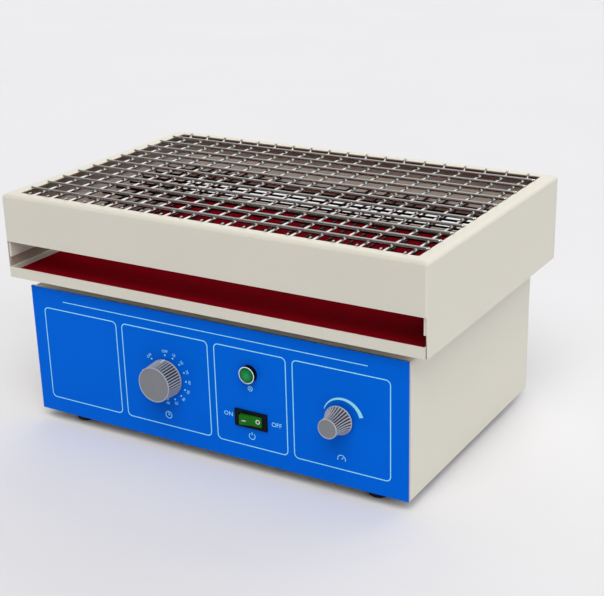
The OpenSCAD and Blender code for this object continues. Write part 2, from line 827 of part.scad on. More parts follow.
module grid_frame() {
    skirt_z = rail_z - 14.3;
    color(paint_color) difference() {
        union() {
            translate([0, tray_y, rail_z]) difference() {
                slab(rail_w, rail_d, rail_top - rail_z);
                translate([0, 0, -1]) slab(rail_w - 2 * rail_t, rail_d - 2 * rail_t, rail_top - rail_z + 2);
            }
            for (s = [-1, 1]) translate([s * (rail_w - rail_t) / 2, tray_y, skirt_z])
                slab(rail_t, rail_d, rail_z - skirt_z + 0.01);
        }
        for (x = long_x) translate([x, tray_y, low_long_z]) bar_y(bar_d + 0.3, rail_d + 1);
        for (y = cross_y) translate([0, y, low_cross_z]) bar_x(bar_d + 0.3, rail_w + 1);
    }
}

// A grid bar along X whose ends step up or down to lie on the tray's flange
module hooked_bar(len, rise) {
    bar_x(bar_d, len);
    for (s = [-1, 1]) translate([s * (len - hook_d) / 2, 0, 0]) {
        translate([0, 0, min(rise, 0)]) cylinder(d = hook_d, h = abs(rise));
        translate([s * hook_len / 2, 0, rise]) bar_x(hook_d, hook_len);
        translate([0, 0, rise]) sphere(d = hook_d);
    }
}

module upper_grid_bars() {
    hook_z = tray_top + hook_d / 2 + 0.02;
    color("gray") {
        for (x = long_x) translate([x, tray_y, long_z]) rotate(90)
            hooked_bar(open_d - part_gap, hook_z - long_z);
        for (y = cross_y) translate([0, y, cross_z]) hooked_bar(open_w - part_gap, hook_z - cross_z);
    }
}

module lower_grid_bars() {
    color("gray") {
        for (x = long_x) translate([x, tray_y, low_long_z]) bar_y(bar_d, rail_d - 0.2);
        for (y = cross_y) translate([0, y, low_cross_z]) bar_x(bar_d, rail_w - 0.2);
    }
}

base_plate();
housing_shell();
front_panel();
panel_overlay();
rear_panel();
rubber_feet();
foot_screws();
base_screws();
deck_plate();
deck_posts();
deck_screws();
rod_supports();
guide_rods();
motor_body();
motor_screws();
bearing_housing();
crank_bearings();
drive_belt();
timer_body();
speed_control();
control_nut();
lamp_bezel();
lamp_lens();
lamp_nut();
switch_frame();
control_board();
board_standoffs();
heat_sink();
filter_capacitor();
transformer_core();
transformer_coil();
power_inlet();
fuse_holder();
switch_rocker();
timer_knob();
timer_shaft();
speed_knob();
speed_shaft();
fuse_cap();
motor_shaft();
motor_pulley();
crank_shaft();
crank_pulley();
crank_disc();
connecting_rod();
link_bearings();
wrist_pin();
bearing_blocks();
linear_bushes();
carriage_plate();
block_screws();
tray_columns();
tray_bolts();
tray_bottom();
tray_frame();
tray_mat();
grid_frame();
upper_grid_bars();
lower_grid_bars();
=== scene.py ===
from math import cos, pi, radians, sin

import bmesh
import bpy
from mathutils import Matrix, Vector


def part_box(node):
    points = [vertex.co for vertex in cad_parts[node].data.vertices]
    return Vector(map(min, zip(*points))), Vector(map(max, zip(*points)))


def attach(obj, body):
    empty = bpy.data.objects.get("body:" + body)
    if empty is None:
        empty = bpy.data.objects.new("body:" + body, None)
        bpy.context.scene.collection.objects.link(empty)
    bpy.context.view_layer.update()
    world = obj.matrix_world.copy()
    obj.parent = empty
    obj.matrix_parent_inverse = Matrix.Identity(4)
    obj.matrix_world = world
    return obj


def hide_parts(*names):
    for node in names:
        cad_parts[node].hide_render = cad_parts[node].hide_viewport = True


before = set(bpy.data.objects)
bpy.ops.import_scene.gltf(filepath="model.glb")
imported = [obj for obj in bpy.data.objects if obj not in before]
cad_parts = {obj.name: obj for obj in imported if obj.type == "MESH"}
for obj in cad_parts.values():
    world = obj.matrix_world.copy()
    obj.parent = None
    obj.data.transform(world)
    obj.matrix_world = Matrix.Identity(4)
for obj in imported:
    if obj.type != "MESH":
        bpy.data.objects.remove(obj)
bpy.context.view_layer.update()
scene = bpy.context.scene
mm = 0.001
print("frame loaded:", len(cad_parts), "nodes")


def tone(red, green, blue):  # screen colour, 0 to 255, as Blender's own linear one
    def line(value):
        share = value / 255
        return share / 12.92 if share <= 0.04045 else ((share + 0.055) / 1.055) ** 2.4
    return (line(red), line(green), line(blue), 1.0)


class Wire:  # a node's output that takes part in sums
    def __init__(self, tree, socket):
        self.tree = tree
        self.socket = socket

    def work(self, operation, first, second):
        made = self.tree.nodes.new("ShaderNodeMath")
        made.operation = operation
        for target, value in zip(made.inputs, (first, second)):
            if isinstance(value, Wire):
                self.tree.links.new(value.socket, target)
            else:
                target.default_value = value
        return Wire(self.tree, made.outputs[0])

    def __add__(self, other):
        return self.work("ADD", self, other)

    def __radd__(self, other):
        return self.work("ADD", other, self)

    def __sub__(self, other):
        return self.work("SUBTRACT", self, other)

    def __rsub__(self, other):
        return self.work("SUBTRACT", other, self)

    def __mul__(self, other):
        return self.work("MULTIPLY", self, other)

    def __rmul__(self, other):
        return self.work("MULTIPLY", other, self)

    def __gt__(self, other):
        return self.work("GREATER_THAN", self, other)


class Graph:  # a node tree that is filled one node at a time
    def __init__(self, tree):
        self.tree = tree

    def node(self, kind, settings=None, sockets=None, out=0):
        made = self.tree.nodes.new(kind)
        for key, value in (settings or {}).items():
            setattr(made, key, value)
        for key, value in (sockets or {}).items():
            self.join(value, made.inputs[key])
        return Wire(self.tree, made.outputs[out]) if len(made.outputs) else made

    def join(self, value, target):
        if isinstance(value, Wire):
            self.tree.links.new(value.socket, target)
        else:
            target.default_value = value


class Finish(Graph):  # one surface finish on the principled shader
    def __init__(self, name, fixed):
        self.material = bpy.data.materials.new(name)
        self.material.use_nodes = True
        super().__init__(self.material.node_tree)
        self.shader = self.tree.nodes["Principled BSDF"]
        for socket, value in fixed.items():
            self.shader.inputs[socket].default_value = value
        self.place = self.node("ShaderNodeTexCoord", out="Object")

    def noise(self, scale, detail=2.0, stretch=None):
        place = self.place
        if stretch:
            place = self.node("ShaderNodeMapping", None, {"Vector": place, "Scale": stretch})
        return self.node("ShaderNodeTexNoise", None, {"Vector": place, "Scale": scale, "Detail": detail})

    def mix(self, share, first, second):
        return self.node("ShaderNodeMix", {"data_type": "RGBA"}, {0: share, 6: first, 7: second}, 2)

    def feed(self, socket, wire):
        self.join(wire, self.shader.inputs[socket])

    def bump(self, height, strength, distance):
        sockets = {"Height": height, "Strength": strength, "Distance": distance}
        self.feed("Normal", self.node("ShaderNodeBump", None, sockets))


# sheet paint: slow drift in colour, fine orange peel, a few dust specks
paintDetail = {"dustCover": 0.25, "driftShine": 0.14, "dustShine": 0.15, "peelDepth": 0.0002}


def paintFinish(name, look):
    d = paintDetail
    paint = Finish(name, {"Specular IOR Level": look["specular"]})
    drift = paint.noise(look["driftScale"], 3.0)
    peel = paint.noise(look["peelScale"], 1.0)
    dust = paint.noise(look["dustScale"], 2.0) > look["dustLevel"]
    clean = paint.mix(drift, look["dark"], look["light"])
    paint.feed("Base Color", paint.mix(dust * d["dustCover"], clean, look["dust"]))
    paint.feed("Roughness", look["roughness"] + d["driftShine"] * drift + d["dustShine"] * dust)
    paint.bump(peel, look["peelStrength"], d["peelDepth"])
    return paint.material


# metal: long fine lines along one direction, a little uneven in shine
metalDetail = {"lineShare": 0.55, "stainShare": 0.45, "lineDepth": 0.0001}


def metalFinish(name, look):
    d = metalDetail
    metal = Finish(name, {"Metallic": look.get("metallic", 1.0), "Specular IOR Level": 0.5})
    lines = metal.noise(look["lineScale"], 2.0, look["stretch"])
    stain = metal.noise(look["stainScale"], 3.0)
    light = d["lineShare"] * lines + d["stainShare"] * stain
    metal.feed("Base Color", metal.mix(light, look["dark"], look["light"]))
    metal.feed("Roughness", look["roughness"] + look["spread"] * lines)
    metal.bump(lines, look["lineStrength"], d["lineDepth"])
    return metal.material


# moulded plastic and rubber: fine spark-eroded grain, slight bloom
mouldedDetail = {"grainShare": 0.4, "bloomShare": 0.6, "bloomShine": 0.2, "grainDepth": 0.0002}


def mouldedFinish(name, look):
    d = mouldedDetail
    plastic = Finish(name, {"Specular IOR Level": look.get("specular", 0.5)})
    grain = plastic.noise(look["grainScale"], 2.0)
    bloom = plastic.noise(look["bloomScale"], 3.0)
    light = d["grainShare"] * grain + d["bloomShare"] * bloom
    plastic.feed("Base Color", plastic.mix(light, look["dark"], look["light"]))
    plastic.feed("Roughness", look["roughness"] + d["bloomShine"] * bloom)
    plastic.bump(grain, look["grainStrength"], d["grainDepth"])
    return plastic.material


paintLooks = {
    "creamPaint": {
        "dark": tone(213, 209, 196), "light": tone(220, 217, 205), "dust": tone(190, 185, 170),
        "driftScale": 7.0, "peelScale": 1500.0, "peelStrength": 0.07,
        "dustScale": 420.0, "dustLevel": 0.80, "roughness": 0.36, "specular": 0.3,
    },
    # the tray's inner walls: a darker tan than the cream, painted shade
    "insidePaint": {
        "dark": tone(164, 153, 138), "light": tone(175, 164, 149), "dust": tone(140, 129, 114),
        "driftScale": 7.0, "peelScale": 1500.0, "peelStrength": 0.07,
        "dustScale": 420.0, "dustLevel": 0.80, "roughness": 0.5, "specular": 0.2,
    },
    "blueFilm": {
        "dark": tone(0, 97, 215), "light": tone(0, 105, 227), "dust": tone(20, 112, 226),
        "driftScale": 9.0, "peelScale": 2600.0, "peelStrength": 0.05,
        "dustScale": 500.0, "dustLevel": 0.82, "roughness": 0.34, "specular": 0.02,
    },
    "printInk": {
        "dark": tone(144, 230, 255), "light": tone(162, 240, 255), "dust": tone(138, 226, 255),
        "driftScale": 40.0, "peelScale": 4000.0, "peelStrength": 0.04,
        "dustScale": 900.0, "dustLevel": 0.8, "roughness": 0.4, "specular": 0.3,
    },
    "whiteInk": {
        "dark": tone(226, 228, 226), "light": tone(242, 243, 240), "dust": tone(210, 210, 204),
        "driftScale": 60.0, "peelScale": 4000.0, "peelStrength": 0.04,
        "dustScale": 900.0, "dustLevel": 0.8, "roughness": 0.4, "specular": 0.3,
    },
}

alongX = (0.02, 1.0, 1.0)
alongY = (1.0, 0.02, 1.0)
alongZ = (1.0, 1.0, 0.02)
everyWay = (1.0, 1.0, 1.0)
metalLooks = {
    "barSteel": {
        "dark": tone(178, 177, 174), "light": tone(202, 201, 198), "lineScale": 900.0, "stretch": everyWay,
        "stainScale": 60.0, "roughness": 0.12, "spread": 0.1, "lineStrength": 0.06,
    },
    # near-black steel for the lower bars: painted shade under the upper grid
    "dullSteel": {
        "dark": tone(22, 21, 20), "light": tone(36, 35, 33), "lineScale": 900.0, "stretch": everyWay,
        "stainScale": 60.0, "roughness": 0.3, "spread": 0.1, "lineStrength": 0.06,
    },
    "panelSteel": {
        "dark": tone(140, 142, 144), "light": tone(182, 184, 186), "lineScale": 700.0, "stretch": alongX,
        "stainScale": 24.0, "roughness": 0.3, "spread": 0.2, "lineStrength": 0.12,
    },
    "brightSteel": {
        "dark": tone(176, 177, 178), "light": tone(212, 213, 214), "lineScale": 800.0, "stretch": alongX,
        "stainScale": 40.0, "roughness": 0.16, "spread": 0.16, "lineStrength": 0.08,
    },
    "aluminium": {
        "dark": tone(164, 166, 168), "light": tone(200, 202, 204), "lineScale": 600.0, "stretch": alongZ,
        "stainScale": 30.0, "roughness": 0.28, "spread": 0.2, "lineStrength": 0.12,
    },
    # the lamp ring's front: pale cyan without metal, a painted reflection of polished chrome
    "chromeRing": {
        "dark": tone(218, 242, 252), "light": tone(234, 250, 255), "lineScale": 1500.0, "stretch": alongY,
        "stainScale": 80.0, "roughness": 0.2, "spread": 0.12, "lineStrength": 0.04, "metallic": 0.0,
    },
    "coreIron": {
        "dark": tone(58, 58, 60), "light": tone(92, 92, 94), "lineScale": 900.0, "stretch": alongX,
        "stainScale": 50.0, "roughness": 0.45, "spread": 0.2, "lineStrength": 0.3, "metallic": 0.8,
    },
}

mouldedLooks = {
    "blackRubber": {
        "dark": tone(16, 16, 17), "light": tone(38, 38, 40), "grainScale": 1600.0, "bloomScale": 70.0,
        "roughness": 0.6, "grainStrength": 0.25, "specular": 0.3,
    },
    "blackPlastic": {
        "dark": tone(14, 14, 16), "light": tone(26, 26, 29), "grainScale": 2400.0, "bloomScale": 60.0,
        "roughness": 0.34, "grainStrength": 0.12, "specular": 0.3,
    },
    "switchBlack": {
        "dark": tone(3, 3, 5), "light": tone(10, 10, 13), "grainScale": 2400.0, "bloomScale": 60.0,
        "roughness": 0.4, "grainStrength": 0.12, "specular": 0.12,
    },
    # the knobs' grip between the ribs: darker grey, painted shade
    "knobGroove": {
        "dark": tone(54, 56, 60), "light": tone(72, 74, 79), "grainScale": 2200.0, "bloomScale": 90.0,
        "roughness": 0.5, "grainStrength": 0.12, "specular": 0.2,
    },
    "knobGrey": {
        "dark": tone(114, 117, 122), "light": tone(134, 137, 142), "grainScale": 2200.0, "bloomScale": 90.0,
        "roughness": 0.4, "grainStrength": 0.12,
    },
    # the knobs' ribs and rims: lighter grey, painted highlight
    "knobRim": {
        "dark": tone(160, 162, 168), "light": tone(186, 188, 194), "grainScale": 2200.0, "bloomScale": 90.0,
        "roughness": 0.34, "grainStrength": 0.06, "specular": 0.3,
    },
    "redMat": {
        "dark": tone(116, 0, 12), "light": tone(136, 2, 20), "grainScale": 900.0, "bloomScale": 26.0,
        "roughness": 0.7, "grainStrength": 0.35, "specular": 0.01,
    },
    "rockerGreen": {
        "dark": tone(4, 78, 10), "light": tone(22, 128, 22), "grainScale": 1500.0, "bloomScale": 160.0,
        "roughness": 0.34, "grainStrength": 0.1, "specular": 0.15,
    },
    "boardGreen": {
        "dark": tone(14, 74, 40), "light": tone(34, 108, 62), "grainScale": 500.0, "bloomScale": 120.0,
        "roughness": 0.35, "grainStrength": 0.2,
    },
    "whiteNylon": {
        "dark": tone(214, 214, 206), "light": tone(232, 232, 226), "grainScale": 1800.0, "bloomScale": 60.0,
        "roughness": 0.45, "grainStrength": 0.12,
    },
    "blueSleeve": {
        "dark": tone(20, 32, 72), "light": tone(38, 52, 104), "grainScale": 1400.0, "bloomScale": 80.0,
        "roughness": 0.3, "grainStrength": 0.08,
    },
    "coilTape": {
        "dark": tone(168, 118, 34), "light": tone(202, 152, 62), "grainScale": 700.0, "bloomScale": 70.0,
        "roughness": 0.4, "grainStrength": 0.2,
    },
    "timerCase": {
        "dark": tone(206, 200, 180), "light": tone(226, 221, 204), "grainScale": 1700.0, "bloomScale": 50.0,
        "roughness": 0.45, "grainStrength": 0.12,
    },
}

finishes = {name: paintFinish(name, look) for name, look in paintLooks.items()}
finishes.update({name: metalFinish(name, look) for name, look in metalLooks.items()})
finishes.update({name: mouldedFinish(name, look) for name, look in mouldedLooks.items()})


# pilot lens: clear green cap, brighter round its middle as a painted highlight, with painted glints in its
# flecks
lensLook = {
    "dark": tone(0, 44, 20), "light": tone(30, 160, 86), "centre": (0.0422, -0.1245, 0.0898), "reach": 0.008,
    "fleckScale": 420.0, "evenHighlight": 0.3, "fleckHighlight": 1.5, "roughness": 0.06, "fleckShine": 0.12,
    "fleckStrength": 0.06, "fleckDepth": 0.0002,
}


def lensFinish(name, look):
    lens = Finish(name, {"IOR": 1.49, "Specular IOR Level": 0.15})
    turned = lens.node("ShaderNodeMapping", {"vector_type": "TEXTURE"},
                       {"Vector": lens.place, "Location": look["centre"], "Scale": (look["reach"],) * 3})
    ball = lens.node("ShaderNodeTexGradient", {"gradient_type": "SPHERICAL"}, {"Vector": turned})
    flecksAndGlints = lens.noise(look["fleckScale"])
    # glow is a painted highlight: brighter round the middle and in the flecks, which also roughen and bump
    # the dome
    glow = ball * (look["evenHighlight"] + look["fleckHighlight"] * flecksAndGlints)
    lens.feed("Base Color", lens.mix(glow, look["dark"], look["light"]))
    lens.feed("Roughness", look["roughness"] + look["fleckShine"] * flecksAndGlints)
    lens.bump(flecksAndGlints, look["fleckStrength"], look["fleckDepth"])
    return lens.material


finishes["lensGreen"] = lensFinish("lensGreen", lensLook)
print("finishes:", len(finishes))


sharpFold = 35  # degrees past which an edge shades sharp


def shade(mesh, sharp=sharpFold):
    mesh.shade_smooth()
    mesh.set_sharp_from_angle(angle=radians(sharp))


def meshFrom(bm, name, sharp=sharpFold):  # millimetres in, metres out
    mesh = bpy.data.meshes.new(name)
    bm.to_mesh(mesh)
    bm.free()
    mesh.transform(Matrix.Scale(mm, 4))
    shade(mesh, sharp)
    return mesh


def newObject(name, data):
    made = bpy.data.objects.new(name, data)
    scene.collection.objects.link(made)
    return made


def plainMesh(holder, *helpers):  # a holder's finished mesh; the holder and its helpers then go
    graph = bpy.context.evaluated_depsgraph_get()
    mesh = bpy.data.meshes.new_from_object(holder.evaluated_get(graph), depsgraph=graph)
    holder.modifiers.clear()
    for item in (holder, *helpers):
        bpy.data.objects.remove(item)
    return mesh


def evenShade(mesh):  # normals weighted by area, so that broad faces next to a bevel shade flat
    holder = newObject(mesh.name, mesh)
    holder.modifiers.new("weighted", "WEIGHTED_NORMAL").keep_sharp = True
    return plainMesh(holder)


def addPiece(name, mesh, finish, body, slot, *replaced):
    piece = newObject(name, mesh)
    if mesh.materials:  # clearing an empty list would undo the faces' second finish
        mesh.materials.clear()
    mesh.materials.append(finishes[finish])
    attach(piece, body)
    if replaced:
        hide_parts(*replaced)
    return piece


def faceOut(bm):
    bmesh.ops.recalc_face_normals(bm, faces=bm.faces)


def seal(bm, gap=0.0005):  # closes the seams, then turns the faces outwards
    bmesh.ops.remove_doubles(bm, verts=bm.verts, dist=gap)
    faceOut(bm)


def loft(bm, loops, capFirst=False, capLast=False):
    rings = [[bm.verts.new(point) for point in loop] for loop in loops]
    for lower, upper in zip(rings, rings[1:]):
        for i in range(len(lower)):
            j = (i + 1) % len(lower)
            bm.faces.new((lower[i], lower[j], upper[j], upper[i]))
    if capFirst:
        bm.faces.new(rings[0][::-1])
    if capLast:
        bm.faces.new(rings[-1])


def roundAngles(steps):
    return [2 * pi * i / steps for i in range(steps)]


def circleLine(x, z, radius, steps=32):
    return [(x + radius * cos(a), z + radius * sin(a)) for a in roundAngles(steps)]


def levelLoop(radius, z, steps):
    return [(x, y, z) for x, y in circleLine(0.0, 0.0, radius, steps)]


def roundedLoop(halfX, halfY, radius, steps):  # counter-clockwise from the front right corner
    points = []
    for signX, signY, start in ((1, -1, -90), (1, 1, 0), (-1, 1, 90), (-1, -1, 180)):
        for i in range(steps + 1):
            angle = radians(start + 90 * i / steps)
            points.append((signX * (halfX - radius) + radius * cos(angle),
                           signY * (halfY - radius) + radius * sin(angle)))
    return points


def turn(bm, profile, steps, x, z, hollow=False):  # profile of (radius, distance out of the panel)
    rows = profile + profile[:1] if hollow else profile
    loops = [[(px, panelY - out, pz) for px, pz in circleLine(x, z, radius, steps)] for radius, out in rows]
    loft(bm, loops, capFirst=not hollow, capLast=not hollow)
    seal(bm)


def sweep(bm, path, radii, side, sides=12):  # tube along a path that lies in the plane across side
    loops = []
    for i, point in enumerate(path):
        ahead = (path[min(i + 1, len(path) - 1)] - path[max(i - 1, 0)]).normalized()
        up = side.cross(ahead)
        loops.append([point + radii[i] * (cos(a) * side + sin(a) * up) for a in roundAngles(sides)])
    loft(bm, loops, capFirst=True, capLast=True)
    faceOut(bm)


softEdge = {"merge": 0.002, "flat": 0.6, "sharp": 40}  # millimetres, degrees, degrees


def softCopy(node, name, width, steps):  # a CAD node's shape with its edges broken
    bm = bmesh.new()
    bm.from_mesh(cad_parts[node].data)
    bmesh.ops.scale(bm, vec=(1 / mm,) * 3, verts=bm.verts)
    bmesh.ops.remove_doubles(bm, verts=bm.verts, dist=softEdge["merge"])
    bmesh.ops.dissolve_limit(bm, angle_limit=radians(softEdge["flat"]), verts=bm.verts[:], edges=bm.edges[:])
    sharp = radians(softEdge["sharp"])
    edges = [e for e in bm.edges if len(e.link_faces) == 2 and e.calc_face_angle(0.0) > sharp]
    bmesh.ops.bevel(bm, geom=edges, offset=width, segments=steps, profile=0.5, affect="EDGES",
                    clamp_overlap=True)
    return evenShade(meshFrom(bm, name))


def addSoft(node, name, width, steps, finish, body, slot):
    addPiece(name, softCopy(node, name, width, steps), finish, body, slot, node)


def slotted(mesh, wide, deep):  # a cap with a screwdriver slot across its rear face
    low, high = [Vector([pick(v.co[i] for v in mesh.vertices) for i in range(3)]) for pick in (min, max)]
    spot = Vector(((low.x + high.x) / 2, high.y, (low.z + high.z) / 2))
    pastRim = 1.2 * (high.x - low.x)
    size = Vector((pastRim, 2 * deep * mm, wide * mm))
    bm = bmesh.new()
    bmesh.ops.create_cube(bm, size=1.0, matrix=Matrix.LocRotScale(spot, None, size))
    cutter = newObject("slotCutter", bpy.data.meshes.new("slotCutter"))
    bm.to_mesh(cutter.data)
    bm.free()
    holder = newObject(mesh.name, mesh)
    holder.modifiers.new("slot", "BOOLEAN").object = cutter
    cap = plainMesh(holder, cutter)
    shade(cap)
    return evenShade(cap)


def joinMeshes(name, meshes):
    bm = bmesh.new()
    for mesh in meshes:
        bm.from_mesh(mesh)
    joined = bpy.data.meshes.new(name)
    bm.to_mesh(joined)
    bm.free()
    return joined


# geometry trees: a shape repeated in a row, round a ring, or at given places
def copiesTree(name, extra, placeCopies):
    group = bpy.data.node_groups.new(name, "GeometryNodeTree")
    group.interface.new_socket("Geometry", in_out="INPUT", socket_type="NodeSocketGeometry")
    group.interface.new_socket("Geometry", in_out="OUTPUT", socket_type="NodeSocketGeometry")
    for label, kind in {**extra, "Shape": "Object", "Finish": "Material"}.items():
        group.interface.new_socket(label, in_out="INPUT", socket_type="NodeSocket" + kind)
    graph = Graph(group)
    given = group.nodes.new("NodeGroupInput")
    inputs = {socket.name: Wire(group, socket) for socket in given.outputs if socket.name}
    points, rotation = placeCopies(graph, inputs)
    shape = graph.node("GeometryNodeObjectInfo", None, {"Object": inputs["Shape"]}, "Geometry")
    copies = graph.node("GeometryNodeInstanceOnPoints", None,
                        {"Points": points, "Instance": shape, "Rotation": rotation})
    plain = graph.node("GeometryNodeRealizeInstances", None, {"Geometry": copies})
    dressed = graph.node("GeometryNodeSetMaterial", None, {"Geometry": plain, "Material": inputs["Finish"]})
    graph.node("NodeGroupOutput", None, {0: dressed})
    return group


unturned = (0.0, 0.0, 0.0)


def rowPlaces(graph, inputs):
    index = graph.node("GeometryNodeInputIndex")
    moved = graph.node("ShaderNodeVectorMath", {"operation": "SCALE"}, {0: inputs["Step"], "Scale": index})
    place = graph.node("ShaderNodeVectorMath", {"operation": "ADD"}, {0: inputs["First"], 1: moved})
    points = graph.node("GeometryNodePoints", None, {"Count": inputs["Count"], "Position": place})
    return points, unturned


def ringPlaces(graph, inputs):
    angle = inputs["First"] + inputs["Step"] * graph.node("GeometryNodeInputIndex")
    across = graph.node("ShaderNodeMath", {"operation": "COSINE"}, {0: angle}) * inputs["Radius"]
    height = graph.node("ShaderNodeMath", {"operation": "SINE"}, {0: angle}) * inputs["Radius"]
    spot = graph.node("ShaderNodeCombineXYZ", None, {"X": across, "Z": height})
    place = graph.node("ShaderNodeVectorMath", {"operation": "ADD"}, {0: inputs["Centre"], 1: spot})
    points = graph.node("GeometryNodePoints", None, {"Count": inputs["Count"], "Position": place})
    rotation = graph.node("ShaderNodeCombineXYZ", None, {"Y": 0 - angle})
    return points, rotation


def givenPlaces(graph, inputs):
    return graph.node("GeometryNodeMeshToPoints", None, {"Mesh": inputs["Geometry"]}), unturned


rowTree = copiesTree("copiesInRow", {"Count": "Int", "First": "Vector", "Step": "Vector"}, rowPlaces)
ringTree = copiesTree("copiesInRing", {"Count": "Int", "First": "Float", "Step": "Float", "Radius": "Float",
                                       "Centre": "Vector"}, ringPlaces)
placeTree = copiesTree("copiesAtPlaces", {}, givenPlaces)


def grow(tree, name, shapeMesh, finish, places=(), **values):
    start = bpy.data.meshes.new(name)
    start.from_pydata(places, [], [])
    shape = newObject(name + "Shape", shapeMesh)
    holder = newObject(name, start)
    modifier = holder.modifiers.new("copies", "NODES")
    modifier.node_group = tree
    values.update(Shape=shape, Finish=finishes[finish])
    for socket in tree.interface.items_tree:
        if socket.in_out == "INPUT" and socket.name in values:
            modifier[socket.identifier] = values[socket.name]
    return plainMesh(holder, shape)


# tray: folded frame with a soft outer bend, a flat flange and long side walls
trayLow, trayHigh = [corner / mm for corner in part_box("tray_frame")]
trayMiddleY = (trayHigh.y + trayLow.y) / 2
trayFold = {"flangeX": 12.5, "flangeY": 11.0, "band": 42.3, "rearBand": 51.1, "sheet": 1.5, "edge": 0.45,
            "outerBend": 3.4, "bendSteps": 6, "corner": 2.6, "holeCorner": 1.2, "cornerSteps": 5}


def trayRows(depth):  # one skin of the fold: insets along x and y, height, corner radius
    f, top = trayFold, trayHigh.z
    bend = f["outerBend"]
    corner = f["corner"] - depth
    rows = [(depth, depth, None, corner), (depth, depth, top - bend, corner)]
    for i in range(1, f["bendSteps"] + 1):
        angle = pi / 2 * i / f["bendSteps"]
        inset = bend - (bend - depth) * cos(angle)
        rows.append((inset, inset, top - bend + (bend - depth) * sin(angle), corner))
    rows.append((f["flangeX"] - f["edge"], f["flangeY"] - f["edge"], top - depth, f["holeCorner"]))
    return rows


def trayFoot(spot):  # the fold's lower edge at one place of the loop
    steps = trayFold["cornerSteps"]
    corner, step = divmod(spot, steps + 1)
    face = (corner + (step > steps // 2)) % 4
    return {0: trayHigh.z - trayFold["band"], 2: trayHigh.z - trayFold["rearBand"]}.get(face, trayLow.z)


def buildTray():
    f = trayFold
    halfX, halfY = trayHigh.x, (trayHigh.y - trayLow.y) / 2
    outer, inner = trayRows(0.0), trayRows(f["sheet"])
    drops = (f["edge"], f["sheet"] - f["edge"])
    lip = [(f["flangeX"], f["flangeY"], trayHigh.z - drop, f["holeCorner"]) for drop in drops]
    loops = []
    for insetX, insetY, z, radius in outer + lip + inner[::-1] + outer[:1]:
        loop = roundedLoop(halfX - insetX, halfY - insetY, radius, f["cornerSteps"])
        heights = [trayFoot(i) if z is None else z for i in range(len(loop))]
        loops.append([(x, trayMiddleY + y, height) for (x, y), height in zip(loop, heights)])
    bm = bmesh.new()
    loft(bm, loops)
    seal(bm)
    # the inner walls take the second finish: a darker tan than the cream, painted shade
    for face in bm.faces:  # the inner faces take the second finish
        spot = face.calc_center_median()
        inward = face.normal.x * spot.x + face.normal.y * (spot.y - trayMiddleY) < 0
        face.material_index = int(inward and abs(face.normal.z) < 0.5)
    return evenShade(meshFrom(bm, "trayShell"))


trayShell = addPiece("trayShell", buildTray(), "creamPaint", "tray", "cream_paint", "tray_frame")
trayShell.data.materials.append(finishes["insidePaint"])
addSoft("tray_bottom", "trayPan", 0.3, 3, "creamPaint", "tray", "cream_paint")
addSoft("tray_mat", "trayMat", 0.9, 3, "redMat", "tray", "red_mat")
print("tray shell, pan and mat")


# grid: straight bars, a little thinner and lower than their nodes
# the upper bars have thin ends that rise and rest on the flange
gridRows = {"longCount": 19, "longPitch": 19.9, "crossCount": 11, "crossPitch": 20.8}
upperBars = {"bar": 1.4, "longReach": 119.8, "longZ": 207.9, "crossReach": 189.8, "crossZ": 210.75,
             "hook": 0.8, "hookReach": 1.6}
lowerBars = {"bar": 1.05, "longReach": 129.4, "longZ": 175.6, "crossReach": 200.9, "crossZ": 178.9,
             "hook": 0.0, "hookReach": 0.0}


def barMesh(name, grid, reach, z, alongWidth):  # lines of (distance along, height, radius)
    bar, hook = grid["bar"], grid["hook"]
    tip = [(reach - 1.2, z, bar), (reach - 0.5, z, bar), (reach, z, 0.7 * bar)]
    runs = [[(-d, height, radius) for d, height, radius in tip[::-1]] + tip]
    if hook:
        rest, end = trayHigh.z + hook, reach + grid["hookReach"]
        rise = [(reach - 3.0, z, hook), (reach - 0.6, rest, hook),
                (end - 0.3, rest, hook), (end, rest, 0.6 * hook)]
        runs += [[(side * d, height, radius) for d, height, radius in rise] for side in (-1, 1)]
    along, across = Vector((1, 0, 0)), Vector((0, 1, 0))
    if not alongWidth:
        along, across = across, along
    bm = bmesh.new()
    for run in runs:
        path = [d * along + Vector((0, 0, height)) for d, height, radius in run]
        sweep(bm, path, [radius for d, height, radius in run], across)
    return meshFrom(bm, name, 50)


def barRows(name, finish, grid):
    g = gridRows
    longFirst = -(g["longCount"] - 1) / 2 * g["longPitch"]
    crossFirst = trayMiddleY - (g["crossCount"] - 1) / 2 * g["crossPitch"]
    longBar = barMesh(name + "LongBar", grid, grid["longReach"], grid["longZ"], False)
    crossBar = barMesh(name + "CrossBar", grid, grid["crossReach"], grid["crossZ"], True)
    longRow = grow(rowTree, name + "Long", longBar, finish, Count=g["longCount"],
                   First=(longFirst * mm, trayMiddleY * mm, 0.0), Step=(g["longPitch"] * mm, 0.0, 0.0))
    crossRow = grow(rowTree, name + "Cross", crossBar, finish, Count=g["crossCount"],
                    First=(0.0, crossFirst * mm, 0.0), Step=(0.0, g["crossPitch"] * mm, 0.0))
    return joinMeshes(name, [longRow, crossRow])


# the lower bars take near-black steel, a painted shade
for name, finish, grid, node in (("upperGrid", "barSteel", upperBars, "upper_grid_bars"),
                                 ("lowerGrid", "dullSteel", lowerBars, "lower_grid_bars")):
    addPiece(name, barRows(name, finish, grid), finish, "tray", "bright_steel", node)
print("grid bars")


